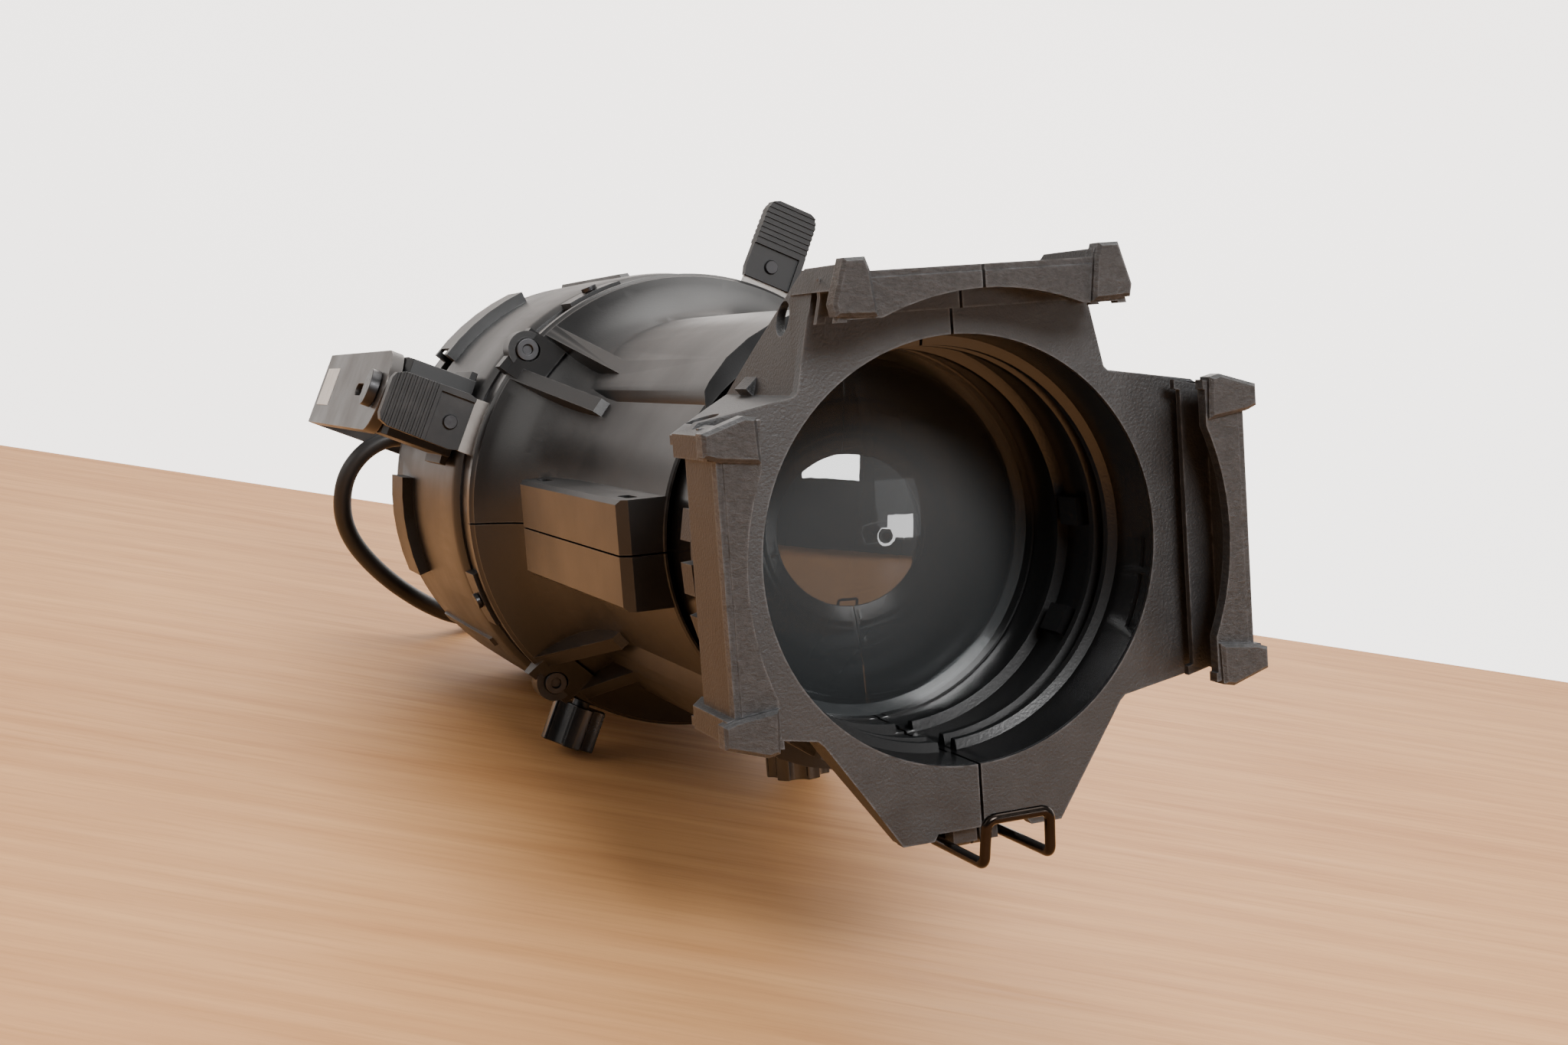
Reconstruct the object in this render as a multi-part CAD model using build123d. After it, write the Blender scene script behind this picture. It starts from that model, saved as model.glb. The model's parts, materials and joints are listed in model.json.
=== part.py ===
"""Ellipsoidal profile stage spotlight, lying on a table on its lock knob, a shutter grip and its housing.

Design frame (mm): the beam axis is Y, the beam leaves towards -Y, Z is up on the lens tube, and Y = 0 is the front
face of the accessory holder plate. The lamp end (shutters, housing, yoke) is turned REAR_ROLL about the beam axis
against the barrel, as the barrel can be turned in the lamp end. At the end every piece is moved once, rigidly, from
the design frame to the table frame: table top Z = 0, Z up, origin under the middle of the object.
"""

import math
import os

from build123d import *

# ---------------------------------------------------------------- driving dimensions (mm, degrees)
# accessory holder and lens tube
APERTURE_R = 69.0          # clear opening in the holder plate
PLATE_T = 4.5
HOLDER_W = 89.7            # half width over the channel walls
SLOT_NARROW = 5.0          # colour frame slot, along the beam
RIB_T = 2.4
SLOT_WIDE = 12.5           # accessory slot, along the beam
LIP_T = 4.1
TUBE_R_FRONT = 71.8        # outside, ahead of the barrel mouth
TUBE_R = 69.6              # outside, where it slides in the barrel
TUBE_R_IN = 67.7
TUBE_END = 200.0
SPLIT = 1.0                # gap between the two tube halves
# barrel
MOUTH_Y = 89.0
BARREL_R_IN = 70.0
BARREL_R = 73.2
FLANGE_Y0, FLANGE_Y1, FLANGE_R = 274.5, 281.5, 102.0
COLLAR_R = 66.0
COLLAR_BORE = 66.4
LUG_XZ = (71.4, 73.2)
# lamp end
REAR_ROLL = 25.0           # lamp end against the barrel, clockwise seen from the front
RING_Y0, RING_Y1, RING_R = 284.0, 300.0, 100.0
HOUSING_R = 104.0
HOUSING_Y1 = 442.0
DOME_Y = 482.0
CAP_R = 46.0
CAP_Y1 = 503.0
PIVOT_Y = 325.0
YOKE_IN = 136.5            # inner face of the yoke arms from the beam axis
YOKE_T = 5.6
YOKE_W = 38.0
YOKE_BACK = 515.5          # inner face of the yoke cross bar
BLADE_T = 0.8
GRIP_W = 26.0
GRIP_R0, GRIP_R1 = 106.0, 143.5
BOTTOM_SHUTTER_DIR = 320.0  # degrees in the lamp end, swung out of its upright place
# table frame: slopes of the table top in the design frame, and the point of it under the object
REST_SLOPE_X = -0.168653
REST_SLOPE_Y = 0.130328
REST_POINT = (-48.9684, 311.0279, -114.5362)
ORIGIN_SHIFT = (38.5630, -51.3417)
# lead
CORD_D = 9.5
LEAD_FREE = [(-110.0, 494.7, 27.2), (-124.2, 497.4, 10.1), (-125.5, 500.7, -16.6), (-108.1, 506.6, -42.4), (-81.5, 515.2, -65.1), (-55.1, 535.0, -78.2)]
COIL_XY = (48.0, 602.0)    # middle of the coil, design frame
COIL_R = 52.0
COIL_TURNS = 2
COIL_ENTRY = 150.0         # degrees round the coil where the lead joins it; the turns run clockwise from above
COIL_EXIT = 180.0
COIL_TIE = 320.0
COIL_Z0 = 1.0              # room under the turns for the tie

os.makedirs("parts", exist_ok=True)

# ---------------------------------------------------------------- frames
_n = Vector(-REST_SLOPE_X, -REST_SLOPE_Y, 1).normalized()
_y = (Vector(0, 1, 0) - _n * _n.Y).normalized()
_x = _y.cross(_n)
_p = Vector(*REST_POINT)
TABLE = Plane(origin=_p, x_dir=_x, z_dir=_n)
TO_TABLE = Location((-ORIGIN_SHIFT[0], -ORIGIN_SHIFT[1], 0)) * TABLE.location.inverse()
REAR = Location((0, 0, 0), (0, REAR_ROLL, 0))


def save(name, shape, rear=False):
    if rear:
        shape = REAR * shape
    shape = TO_TABLE * shape
    solids = shape.solids()
    out = solids[0] if len(solids) == 1 else Compound(children=list(solids))
    out.label = name
    export_step(out, f"parts/{name}.step")
    return out


# ---------------------------------------------------------------- helpers
def prism_y(pts, y0, y1):
    f = make_face(Polyline(*[(x, y0, z) for x, z in pts], close=True))
    return extrude(f, amount=y1 - y0, dir=(0, 1, 0))


def prism_x(pts, x0, x1):
    f = make_face(Polyline(*[(x0, y, z) for y, z in pts], close=True))
    return extrude(f, amount=x1 - x0, dir=(1, 0, 0))


def prism_z(pts, z0, z1):
    f = make_face(Polyline(*[(x, y, z0) for x, y in pts], close=True))
    return extrude(f, amount=z1 - z0, dir=(0, 0, 1))


def rev(pts):
    """Solid of revolution about the beam axis from (radius, y) points."""
    f = make_face(Polyline(*[(r, y, 0) for r, y in pts], close=True))
    return revolve(f, Axis.Y, 360)


def ring(r0, r1, y0, y1):
    return rev([(r0, y0), (r1, y0), (r1, y1), (r0, y1)])


def cyl(p0, p1, r):
    p0, p1 = Vector(*p0), Vector(*p1)
    return Plane(origin=p0, z_dir=p1 - p0) * Cylinder(r, (p1 - p0).length, align=(Align.CENTER, Align.CENTER, Align.MIN))


def box(x0, x1, y0, y1, z0, z1):
    return Pos((x0 + x1) / 2, (y0 + y1) / 2, (z0 + z1) / 2) * Box(x1 - x0, y1 - y0, z1 - z0)


def about_y(deg, shape):
    """Turn anticlockwise seen from the front (X right, Z up)."""
    return Rot(0, -deg, 0) * shape


def sector(a0, a1, r0, r1, y0, y1):
    n = max(2, int(abs(a1 - a0) / 6) + 1)
    t = [math.radians(a0 + (a1 - a0) * i / n) for i in range(n + 1)]
    k = 1 / math.cos(math.radians(abs(a1 - a0) / n / 2))
    pts = [(r0 * 0.0 + r0 * math.cos(a), r0 * math.sin(a)) for a in t]
    pts += [(r1 * k * math.cos(a), r1 * k * math.sin(a)) for a in reversed(t)]
    return prism_y(pts, y0, y1)


# ---------------------------------------------------------------- lens tube and accessory holder
def holder_arm():
    yn, yr = -SLOT_NARROW, -SLOT_NARROW - RIB_T
    yw, yf = yr - SLOT_WIDE, yr - SLOT_WIDE - LIP_T
    body = box(-45.5, 45.5, yf + 0.3, 1, HOLDER_W - 3, HOLDER_W)
    body += box(-47, 47, yr, yn, 77, HOLDER_W - 1)
    lip = prism_x([(yf, 75.7), (yf, HOLDER_W - 2.2), (yf + 2.2, HOLDER_W), (yw, HOLDER_W), (yw, 75.7)], -47.5, 47.5)
    lip -= cyl((0, yf - 5, -5.9), (0, yw + 5, -5.9), 88.4)
    body += lip
    wall_side = prism_x([(yf, 75), (yf, 92), (11, 92), (47, 67), (69, 51), (69, 45), (0, 45), (0, 75)], -60, 60)
    for s in (1, -1):
        w = prism_y([(s * 54.1, 52.6), (s * 44.9, 92), (s * 41.9, 92), (s * 51.1, 52.6), (s * 51.1, 47)], yf, 70) & wall_side
        w -= box(-60, 60, yn, 0, 70, 85.5)
        w -= box(-60, 60, yw, yr, 70, 85.5)
        w -= cyl((s * 30, 22, 77.6), (s * 60, 22, 77.6), 5.5)
        body += w
        # end lug outside the channel wall
        lug = prism_y([(s * 37.2, 86.9), (s * 38.2, 92.3), (s * 45.4, 92.3), (s * 47.6, 84.6), (s * 44, 84.6), (s * 43.4, 86.9)], yf, 22)
        lug -= prism_x([(6, 93.5), (24, 80), (24, 93.5)], -60, 60)
        body += lug
        # cast end tab on the front lip
        tab = prism_y([(s * 36.2, 76.2), (s * 49.6, 76.8), (s * 50.4, 80.6), (s * 46.2, 93.9), (s * 39.3, 93.9), (s * 37.9, 90)], yf - 2.2, yw)
        tab = chamfer(tab.faces().sort_by(Axis.Y)[0].edges(), 1.1)
        body += tab
    return body


plate_pts = [(44.9, HOLDER_W), (49.5, 74), (53.6, 55), (55, 53.6), (86.2, 48.3), (HOLDER_W, 45.5), (HOLDER_W, -45.5), (86.2, -48.3), (55, -53.8),
             (53, -55.6), (39.2, -75.7), (28.5, -91.6), (17.5, -91.6), (16, -89.6), (-16, -89.6), (-17.5, -91.9), (-28.5, -91.9), (-39.2, -75.7), (-53, -55.6), (-55, -53.8), (-86.2, -48.3),
             (-HOLDER_W, -45.5), (-HOLDER_W, 45.5), (-86.2, 48.3), (-55, 53.6), (-53.6, 55), (-49.5, 74), (-44.9, HOLDER_W)]
holder = prism_y(plate_pts, 0, PLATE_T)
arm = holder_arm()
for a in (0, 90, -90):
    holder += about_y(a, arm)
# rim walls behind the lower edges of the plate
for s in (1, -1):
    w = prism_y([(s * 53, -55.6), (s * 39.2, -75.7), (s * 28.5, -91.6), (s * 25, -91.6), (s * 36.2, -74.6), (s * 50.2, -53.6)], PLATE_T - 0.5, 15)
    w -= prism_x([(15.5, -60), (15.5, -92.5), (8, -92.5)], -60, 60)
    holder += w
# hinge lug for the wire clip
CLIP_Y, CLIP_Z, CLIP_WIRE = 12.0, -93.8, 1.7
lug = box(-9, 7, PLATE_T - 0.5, 16, -95, -70) + cyl((-9, CLIP_Y, CLIP_Z), (7, CLIP_Y, CLIP_Z), 4.2)
holder += lug
# tube
holder += ring(APERTURE_R - 6, TUBE_R_FRONT, PLATE_T - 0.5, 62)
holder += ring(TUBE_R_IN - 1, TUBE_R, 60, TUBE_END)
holder += ring(TUBE_R_FRONT - 0.5, 75.6, 37, 50)
teeth = 28
for i in range(teeth):
    a = 360 / teeth * i + 3
    holder += about_y(a, box(73, 79.4, 38, 49, -5.2, 5.2))
# screw bosses across the split, top and bottom
for s in (1, -1):
    holder += box(-10, 10, 18, 30, s * 75 - 5, s * 75 + 5)
# bore and inner ribs
holder -= rev([(0, -1), (APERTURE_R, -1), (APERTURE_R, 23), (65.8, 24), (65.8, 27), (69.2, 28), (69.2, 32), (65.6, 33), (65.6, 36), (69.0, 37), (69.0, 57), (65.3, 58),
               (65.3, 61), (67.6, 62), (67.4, 79.5), (62.7, 80.5), (62.7, 84.5), (67.2, 84.5), (67.2, 95.2), (TUBE_R_IN, 95.2), (TUBE_R_IN, 101), (66.0, 102), (66.0, 104), (TUBE_R_IN, 105),
               (TUBE_R_IN, TUBE_END + 1), (0, TUBE_END + 1)])
# key notches of the inner ribs at the split
holder -= box(-3.2, 3.2, 22, 38, -69.4, -60) + box(-3.2, 3.2, 56, 63, -68.2, -60) + box(-3.2, 3.2, 79, 84.5, -67, -58)
# small stop blocks on the inside
for a, y0, y1 in ((3, 42, 54), (-31, 40, 52)):
    holder += about_y(a, box(64.2, 70, y0, y1, -5, 5))
# light gaps behind the plate
for a0, a1 in ((-3, -11), (-13, -28)):
    holder -= sector(a0, a1, 66, 73.5, PLATE_T + 0.8, PLATE_T + 3.6)
    holder -= sector(180 - a0, 180 - a1, 66, 73.5, PLATE_T + 0.8, PLATE_T + 3.6)
# clip bore, screw bores, split
holder -= cyl((-12, CLIP_Y, CLIP_Z), (10, CLIP_Y, CLIP_Z), CLIP_WIRE + 0.06)
for s in (1, -1):
    holder -= cyl((-14, 24, s * 76), (14, 24, s * 76), 2.1)
# boss for the focus stud, under the tube
FOCUS_X, FOCUS_Y = -6.0, 150.0
left = holder & box(-130, -SPLIT / 2, -60, 260, -130, 130)
right = holder & box(SPLIT / 2, 130, -60, 260, -130, 130)
# stud boss sits inside the left half
stud_boss = cyl((FOCUS_X, FOCUS_Y, -TUBE_R + 0.6), (FOCUS_X, FOCUS_Y, -60), 5.0)
left = (left + (stud_boss & box(-130, -SPLIT / 2, 0, 260, -130, 0))) - cyl((FOCUS_X, FOCUS_Y, -80), (FOCUS_X, FOCUS_Y, -50), 3.05)
save("tube_half_left", left)
save("tube_half_right", right)

screws = Part()
for s in (1, -1):
    screws += cyl((-9.5, 24, s * 76), (9.5, 24, s * 76), 2.0)
    screws += cyl((-13, 24, s * 76), (-10.05, 24, s * 76), 3.8) + cyl((-10.1, 24, s * 76), (-9, 24, s * 76), 2.0)
    screws += cyl((10.05, 24, s * 76), (12.6, 24, s * 76), 3.4) + cyl((9, 24, s * 76), (10.1, 24, s * 76), 2.0)
save("tube_screws", screws)

# lens: strongly convex towards the front, hollow at the back
SAG, LENS_R = 22.0, 62.4
RC = (LENS_R ** 2 + SAG ** 2) / (2 * SAG)
arc = ThreePointArc((0, 84.5 - SAG, 0), (RC * math.sin(math.asin(LENS_R / RC) / 2), 84.5 - SAG + RC * (1 - math.cos(math.asin(LENS_R / RC) / 2)), 0), (LENS_R, 84.5, 0))
RB = (58 ** 2 + 11 ** 2) / (2 * 11)
back = ThreePointArc((58, 91, 0), (29.5, 80 + RB - math.sqrt(RB ** 2 - 29.5 ** 2), 0), (0, 80.0, 0))
prof = arc + Polyline((LENS_R, 84.5, 0), (67.0, 84.5, 0), (67.0, 91, 0), (58, 91, 0)) + back + Line((0, 80.0, 0), (0, 84.5 - SAG, 0))
save("front_lens", revolve(make_face(prof), Axis.Y, 360))
save("lens_retainer", ring(60.5, 67.0, 91.05, 95))

# wire retaining clip
cx0, cx1 = -13.4, 9.6
path = FilletPolyline((-5.5, CLIP_Y, CLIP_Z), (cx0, CLIP_Y, CLIP_Z), (cx0, -24 - 2.6, CLIP_Z + 0.2), (cx0 + 0.6, -24 - 4.6, -79.2), (cx1 - 0.6, -24 - 4.6, -79.2), (cx1, -24 - 2.6, CLIP_Z + 0.2),
                      (cx1, CLIP_Y, CLIP_Z), (3.5, CLIP_Y, CLIP_Z), radius=3.2)
save("retaining_clip", sweep(Plane(origin=(-5.5, CLIP_Y, CLIP_Z), z_dir=(-1, 0, 0)) * Circle(CLIP_WIRE), path=path))

# ---------------------------------------------------------------- focus knob
fz0, fz1 = -88.6, -100.5
knob = cyl((FOCUS_X, FOCUS_Y, fz0), (FOCUS_X, FOCUS_Y, fz1), 12.5)
for i in range(6):
    t = math.radians(60 * i + 10)
    px, py = FOCUS_X + 14.6 * math.cos(t), FOCUS_Y + 14.6 * math.sin(t)
    knob -= cyl((px, py, fz0 + 1), (px, py, fz1 - 1), 4.6)
knob -= cyl((FOCUS_X, FOCUS_Y, fz0 + 1), (FOCUS_X, FOCUS_Y, -96), 3.0)
save("focus_knob", knob)
save("focus_stud", cyl((FOCUS_X, FOCUS_Y, -61), (FOCUS_X, FOCUS_Y, -96), 3.0) + cyl((FOCUS_X, FOCUS_Y, -87.2), (FOCUS_X, FOCUS_Y, -88.5), 8.0))

# ---------------------------------------------------------------- barrel, two halves
flare_out = [(BARREL_R, 200), (74.2, 216), (76.2, 232), (80, 246), (86.5, 259), (94.5, 268.5), (100.5, 273), (FLANGE_R - 1.2, FLANGE_Y0), (FLANGE_R, FLANGE_Y0 + 1.4), (FLANGE_R, FLANGE_Y1 - 1.2), (FLANGE_R - 1.2, FLANGE_Y1)]
barrel = rev([(0, MOUTH_Y), (BARREL_R - 0.8, MOUTH_Y), (BARREL_R, MOUTH_Y + 0.8)] + flare_out + [(0, FLANGE_Y1)])
crown_up = [(53.5, 44), (53.5, 54.8), (51.5, 58), (44.5, 65.8), (36, 72), (26, 77), (14, 80.8), (6, 81.6)]
crown_lo = [(53.5, 44), (53.5, 57), (51, 63), (45, 71), (36, 78.5), (26, 83), (14, 86), (6, 86.6)]
mir = lambda p: [(-x, z) for x, z in reversed(p)]
up = prism_y(crown_up + mir(crown_up), MOUTH_Y, 252)
lo = prism_y([(x, -z) for x, z in crown_lo + mir(crown_lo)], MOUTH_Y, 252)
slope_up = prism_x([(MOUTH_Y - 1, 0), (MOUTH_Y - 1, 79.2), (150, 81.4), (252, 81.6), (252, 0)], -60, 60)
barrel += up & slope_up
barrel += lo
for s in (1, -1):
    b = prism_z([(s * 60, MOUTH_Y + 0.4), (s * 84.2, MOUTH_Y + 0.4), (s * 87.8, MOUTH_Y + 4), (s * 87.8, 235), (s * 84, 240), (s * 60, 240)], -19.6, 19.6)
    b = chamfer(b.edges().filter_by(Axis.Y), 1.6)
    barrel += b
for q in range(4):
    base = (45, 135, 225, 315)[q]
    for d in (-8.6, 5.6) if q in (1, 3) else (-5.6, 8.6):
        r = prism_z([(70, 205), (77.4, 207), (101.5, 276), (101.5, 279), (70, 279)], -3.2, 3.2)
        barrel += about_y(base + d, r)
    lx, lz = LUG_XZ[0] * (1 if q in (0, 3) else -1), LUG_XZ[1] * (1 if q in (0, 1) else -1)
    barrel += cyl((lx, 271.5, lz), (lx, FLANGE_Y1, lz), 8.2)
    barrel += about_y(base + 0.5, prism_z([(90, 262), (103, 271.5), (106.5, 273.5), (106.5, FLANGE_Y1), (90, FLANGE_Y1)], -11, 11))
# hollow inside
barrel -= rev([(0, MOUTH_Y - 1), (71.6, MOUTH_Y - 1), (71.6, MOUTH_Y + 5), (BARREL_R_IN, MOUTH_Y + 7), (BARREL_R_IN, 204), (70.6, 216), (72.6, 232), (76.4, 247), (83, 261), (91, 271), (91, 275.6),
               (COLLAR_BORE, 275.6), (COLLAR_BORE, FLANGE_Y1 + 1), (0, FLANGE_Y1 + 1)])
def shrink(p, t):
    return [(max(x - t, 0.5), z - t) for x, z in p]


for y0, y1 in ((105, 186), (204, 250)):
    for p, sg in ((crown_up, 1), (crown_lo, -1)):
        q = [(x, sg * z) for x, z in shrink(p, 3.2)]
        q[0] = (q[0][0], sg * 40)
        q = q + [(-x, z) for x, z in reversed(q)]
        pocket = prism_y(q, y0, y1) - box(FOCUS_X - 12, FOCUS_X + 12, y0 - 1, y1 + 1, -100, 0)
        barrel -= pocket
for s in (1, -1):
    barrel -= box(min(s * 68, s * 84.8), max(s * 68, s * 84.8), 105, 232, -16.6, 16.6)
    # slots in the boss tops
    for yy in (104, 224):
        for zz in (1, -1):
            cut = box(s * 80 - 2.2, s * 80 + 2.2, yy - 7, yy + 7, 17.2 if zz > 0 else -21, 21 if zz > 0 else -17.2)
            barrel -= fillet(cut.edges().filter_by(Axis.Z), 2.1)
# focus slot under the barrel, index groove on the crown, screw bores, split
slot = box(FOCUS_X - 4.2, FOCUS_X + 4.2, 110, 170, -95, -60)
barrel -= fillet(slot.edges().filter_by(Axis.Z), 4.1)
barrel -= box(-17.5, -14, 132, 226, 77.4, 79.6)
for sx in (1, -1):
    for sz in (1, -1):
        lx, lz = LUG_XZ[0] * sx, LUG_XZ[1] * sz
        barrel -= cyl((lx, 260, lz), (lx, 290, lz), 2.2)
        barrel -= cyl((lx, 262, lz), (lx, 272.6, lz), 5.2)
save("barrel_upper", barrel & box(-130, 130, 60, 300, 0.35, 130))
save("barrel_lower", barrel & box(-130, 130, 60, 300, -130, -0.35))
sc = Part()
for sx in (1, -1):
    for sz in (1, -1):
        lx, lz = LUG_XZ[0] * sx, LUG_XZ[1] * sz
        s1 = cyl((lx, 269.2, lz), (lx, 272.55, lz), 4.8) + cyl((lx, 272, lz), (lx, 281.0, lz), 2.1)
        s1 -= cyl((lx, 268, lz), (lx, 270.8, lz), 2.2)
        sc += s1
save("barrel_lug_screws", sc)

# ---------------------------------------------------------------- lamp end (own upright frame, turned by REAR)
# gate plate with the collar that carries the barrel
gate = ring(40, 97.5, 284.0, 285.2) + ring(62, COLLAR_R, 264, 284.6)
gate += ring(COLLAR_R - 1, 70.5, 268.5, 273.6)
save("gate_plate_front", gate, rear=True)
save("gate_plate_rear", ring(42, 93.4, 293.6, 294.8), rear=True)

shutters = {"top": (90.0, 286.2, -2.5), "left": (180.0, 288.0, 2.5), "bottom": (BOTTOM_SHUTTER_DIR, 289.8, 0.0), "right": (0.0, 291.6, 0.0)}
front_ring = ring(93.6, RING_R, 285.3, RING_Y1) + ring(86, 94, 295.2, 297.4)
for a in (45, 135, 225):
    w = prism_z([(97, 285.3), (103.6, 285.3), (103.6, 302), (97, 322)], -12.5, 12.5)
    w = w & rev([(0, 280), (103.4, 280), (103.4, 330), (0, 330)])
    front_ring += about_y(a, w)
for name, (a, y, off) in shutters.items():
    front_ring -= about_y(a, box(80, 110, y - 0.6, y + BLADE_T + 0.6, off - 33, off + 33))
# stem bore of the barrel lock
LOCK_X, LOCK_Y = -8.0, 308.0
rs = Part()
for a in (45, 135, 225):
    front_ring -= about_y(a, cyl((90, 292, 0), (110, 292, 0), 1.75))
    rs += about_y(a, cyl((103.55, 292, 0), (105.6, 292, 0), 3.6) + cyl((96, 292, 0), (103.8, 292, 0), 1.6))
front_ring -= rev([(0, 300.0), (101.2, 300.0), (104.2, 303), (HOUSING_R + 0.1, 330), (0, 330)])
save("housing_front_ring", front_ring, rear=True)
save("ring_screws", rs, rear=True)

for name, (a, y, off) in shutters.items():
    hw = GRIP_W / 2
    blade = prism_y([(-8, -34), (52, -34), (66, -13), (112, -12), (118, -11), (118, 11), (112, 12), (66, 13), (52, 34), (-8, 34)], y, y + BLADE_T)
    blade = Pos(0, 0, off) * blade
    ym = y + BLADE_T / 2
    g0, g1 = ym - 3.6, ym + 3.6
    grip = prism_y([(GRIP_R0, off - hw + 1), (GRIP_R0 + 4, off - hw), (GRIP_R1 - 5, off - hw + 0.6), (GRIP_R1 - 1.2, off - hw + 2.2), (GRIP_R1, off - hw + 5), (GRIP_R1, off + hw - 5), (GRIP_R1 - 1.2, off + hw - 2.2), (GRIP_R1 - 5, off + hw - 0.6), (GRIP_R0 + 4, off + hw), (GRIP_R0, off + hw - 1)], g0, g1)
    # ribs of the outer half, both faces
    for i in range(8):
        r = GRIP_R0 + 17.5 + i * 2.45
        grip -= box(r, r + 1.1, g0 - 1, g0 + 0.7, off - hw - 1, off + hw + 1)
        grip -= box(r, r + 1.1, g1 - 0.7, g1 + 1, off - hw - 1, off + hw + 1)
    # smooth inner half is thinner, with the folded edge standing at one side
    grip -= box(GRIP_R0 - 1, GRIP_R0 + 15.5, g0 - 1, g0 + 1.4, off - hw + 3, off + hw + 1)
    grip -= box(GRIP_R0 - 1, GRIP_R0 + 15.5, g1 - 1.4, g1 + 1, off - hw + 3, off + hw + 1)
    grip -= box(GRIP_R0 - 1, 118.2, y - 0.05, y + BLADE_T + 0.05, off - 12.2, off + 12.2)
    rr, rz = GRIP_R0 + 7.6, off + 1.5
    grip -= cyl((rr, g0 - 2, rz), (rr, g1 + 2, rz), 2.05)
    blade -= cyl((rr, g0 - 2, rz), (rr, g1 + 2, rz), 2.05)
    rivet = cyl((rr, g0 + 1.4, rz), (rr, g1 - 1.4, rz), 2.0)
    dome = Pos(rr, g0 + 1.4, rz) * Sphere(3.3) & box(rr - 5, rr + 5, g0 - 0.3, g0 + 1.38, rz - 5, rz + 5)
    tail = cyl((rr, g1 - 1.38, rz), (rr, g1 - 0.3, rz), 3.2)
    save(f"shutter_blade_{name}", about_y(a, blade), rear=True)
    save(f"shutter_grip_{name}", about_y(a, grip), rear=True)
    save(f"shutter_rivet_{name}", about_y(a, rivet + dome + tail), rear=True)

# reflector housing
hp = [(97.8, 300.1), (101.0, 300.1), (103.2, 303), (HOUSING_R, 312), (HOUSING_R + 0.3, 372), (HOUSING_R, HOUSING_Y1)]
hi = [(HOUSING_R - 4.2, HOUSING_Y1), (HOUSING_R - 4, 372), (HOUSING_R - 4.2, 312), (97.8, 304)]
housing = rev(hp + hi)
# raised ventilation hoods and their openings
for a in (30, 150, 210, 330):
    housing += sector(a - 13, a + 13, HOUSING_R - 1.5, 109.5, 398, 428) - sector(a - 11.5, a + 11.5, 90, 107.6, 400, 429)
    for k in range(3):
        housing -= about_y(a, box(95, 107, 402 + k * 9, 407 + k * 9, -17, 17))
for a in (165, 15):
    housing -= about_y(a, box(95, 115, 404, 424, -8, 8))
# long shallow stiffening ribs
for a in (60, 90, 120, 240, 300):
    housing += about_y(a, prism_z([(100, 318), (HOUSING_R + 1.6, 326), (HOUSING_R + 1.6, 432), (100, 440)], -2.2, 2.2))
housing -= rev([(0, 290), (97.8, 290), (97.8, 304), (HOUSING_R - 4.2, 312), (HOUSING_R - 4, 372), (HOUSING_R - 4.2, HOUSING_Y1), (HOUSING_R - 4.2, 460), (0, 460)])
housing -= cyl((LOCK_X, LOCK_Y, -80), (LOCK_X, LOCK_Y, -120), 4.06)
save("reflector_housing", housing, rear=True)

cover = rev([(HOUSING_R, HOUSING_Y1 + 0.6), (HOUSING_R - 0.6, 449), (HOUSING_R - 4, 458), (HOUSING_R - 12, 468), (HOUSING_R - 24, 475.5), (64, 480), (51, DOME_Y), (47.2, DOME_Y), (47.2, DOME_Y - 6.6), (61, 473), (HOUSING_R - 28.8, 468.6),
             (HOUSING_R - 18.2, 461.8), (HOUSING_R - 11, 453), (HOUSING_R - 6.8, 447.2), (HOUSING_R - 6.2, HOUSING_Y1 + 0.6)])
for i in range(20):
    if i % 5 != 2:
        cover -= about_y(18 * i, box(62, 88, 455, 490, -2.6, 2.6))
save("rear_cover", cover, rear=True)

rflange = rev([(79, 300.5), (97.4, 300.5), (97.4, 302.4), (81, 302.4), (80.6, 320), (78.4, 340), (73.2, 365), (64, 390), (50.5, 412), (34, 428), (18, 435.5), (18, 433.2), (32.6, 426), (48.9, 410.3), (62.2, 388.8), (71.3, 364.3), (76.4, 339.7), (78.6, 320)])
save("reflector", rflange, rear=True)
lamp = rev([(0, 366), (4, 367), (7.5, 370), (9, 375), (9, 424), (7.5, 430), (7.5, 438), (0, 438)])
save("lamp", lamp, rear=True)
save("lamp_socket", rev([(7.7, 430), (14.5, 430), (14.5, 462), (17, 462), (17, 478), (0, 478), (0, 438.2), (7.7, 438.2)]), rear=True)
cap = rev([(46.9, 470), (46.9, 478), (46, 484), (CAP_R, 493), (44, 498.5), (39, CAP_Y1), (8, CAP_Y1), (8, 497.6), (35, 497.6), (38.4, 494.6), (39.6, 490), (39.6, 470)])
cap += ring(17.2, 44, 470.2, 482.0)
for i in range(12):
    cap += about_y(30 * i, prism_z([(43, 484), (47.6, 485), (47.6, 493), (43, 497)], -1.2, 1.2))
STRAIN_A, STRAIN_Y, STRAIN_L = 185.0, 492.6, 24.0
cap -= about_y(STRAIN_A, cyl((35, STRAIN_Y, 0), (60, STRAIN_Y, 0), 5.4))
cap -= about_y(STRAIN_A, box(46.4, 60, STRAIN_Y - 8.2, STRAIN_Y + 8.2, -8.2, 8.2))
save("lamp_cap", cap, rear=True)
adj = rev([(0, 478.2), (4, 478.2), (4, 498.5), (7.9, 498.5), (7.9, 503.2), (12, 503.4), (12, 509), (10.5, 510.5), (0, 510.5)])
for i in range(10):
    adj -= about_y(36 * i, cyl((13.2, 503, 0), (13.2, 511, 0), 2.2))
adj = adj & rev([(0, 470), (4, 470), (4, 498.45), (7.92, 498.45), (7.92, 503.3), (20, 503.3), (20, 520), (0, 520)])
save("lamp_adjust_knob", adj, rear=True)

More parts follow.
